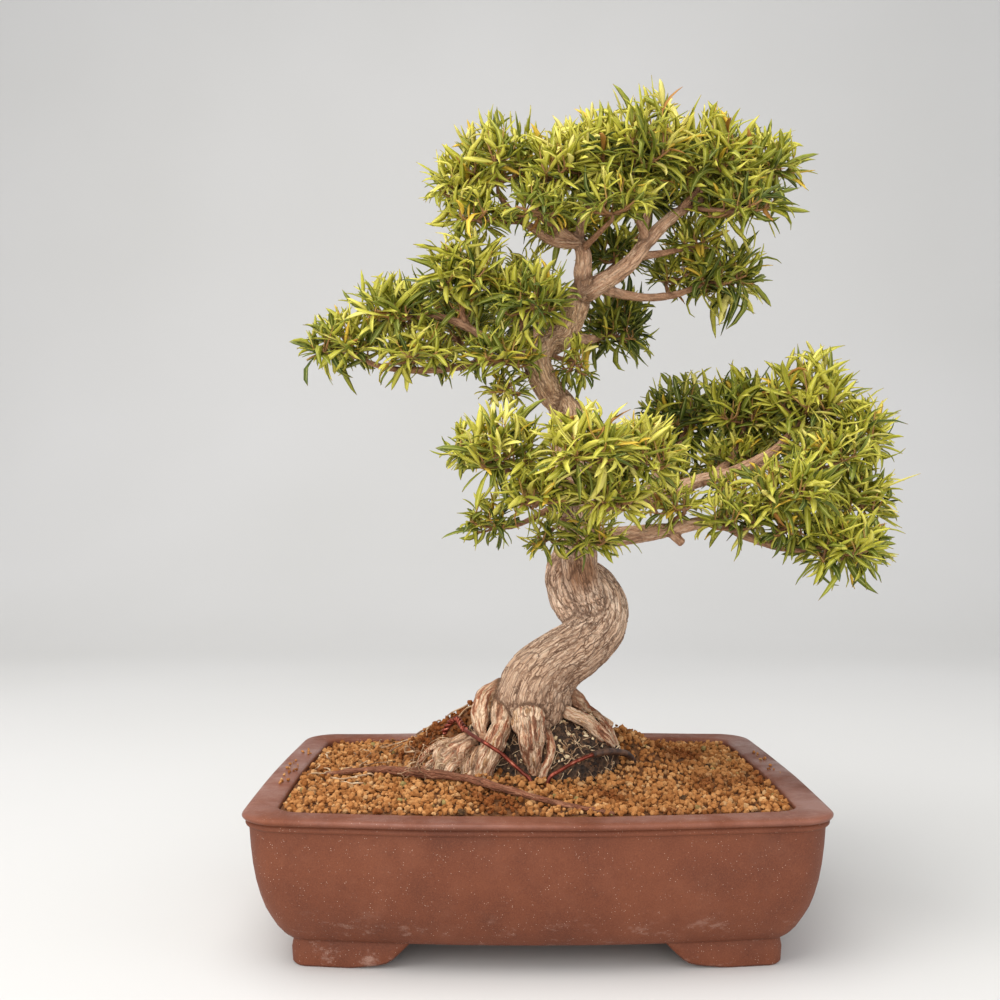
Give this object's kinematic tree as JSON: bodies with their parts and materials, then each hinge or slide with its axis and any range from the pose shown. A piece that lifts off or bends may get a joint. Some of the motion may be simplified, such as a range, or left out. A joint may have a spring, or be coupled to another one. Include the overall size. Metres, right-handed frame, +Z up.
{
  "type": "potted bonsai tree",
  "caption": "Willow leaf fig bonsai with a folded trunk, spreading surface roots and leafy pads, planted in a rounded rectangular clay pot with bracket feet.",
  "frame": {"origin": "under the middle of the whole object's footprint box, on the surface that the pot's feet stand on", "axes": "+Z up the tree, +X to the right along the pot's long side, +Y away from the front"},
  "size_m": [0.3774, 0.2224, 0.4786],
  "materials": {
    "clay": "unglazed stoneware",
    "akadama": "granular",
    "old_soil": "fibrous",
    "bark": "fissured bark",
    "leaf": "waxy leaf",
    "copper": "copper coloured wire",
    "dark_plastic": "smooth",
    "screen_plastic": "matte"
  },
  "bodies": {
    "root": {"drain_screen_left": "screen_plastic", "drain_screen_right": "screen_plastic", "pot": "clay", "root_ball": "old_soil", "soil": "akadama", "spray_crown_back": "leaf", "spray_crown_back_right": "leaf", "spray_crown_fork": "leaf", "spray_crown_front": "leaf", "spray_crown_left": "leaf", "spray_crown_low_back": "leaf", "spray_crown_low_front": "leaf", "spray_crown_low_left": "leaf", "spray_crown_low_middle": "leaf", "spray_crown_low_right": "leaf", "spray_crown_right": "leaf", "spray_crown_tip": "leaf", "spray_crown_top": "leaf", "spray_front_left": "leaf", "spray_front_left_tip": "leaf", "spray_front_low": "leaf", "spray_front_low_right": "leaf", "spray_front_middle": "leaf", "spray_front_right": "leaf", "spray_inner_back": "leaf", "spray_left_back": "leaf", "spray_left_back_tip": "leaf", "spray_left_crest": "leaf", "spray_left_inner": "leaf", "spray_left_inner_top": "leaf", "spray_left_low": "leaf", "spray_left_low_inner": "leaf", "spray_left_shelf": "leaf", "spray_left_tip": "leaf", "spray_left_top": "leaf", "spray_left_top_tip": "leaf", "spray_low_left": "leaf", "spray_low_middle": "leaf", "spray_middle_back": "leaf", "spray_right_back": "leaf", "spray_right_behind": "leaf", "spray_right_crest": "leaf", "spray_right_droop": "leaf", "spray_right_front": "leaf", "spray_right_inner": "leaf", "spray_right_low": "leaf", "spray_right_low_inner": "leaf", "spray_right_low_tip": "leaf", "spray_right_mid": "leaf", "spray_right_mid_tip": "leaf", "spray_right_shelf": "leaf", "spray_right_shelf_inner": "leaf", "spray_right_shelf_low": "leaf", "spray_right_tip": "leaf", "tree": "bark", "wire_left": "copper", "wire_right": "copper", "wire_sleeve": "dark_plastic"}
  },
  "joints": []
}
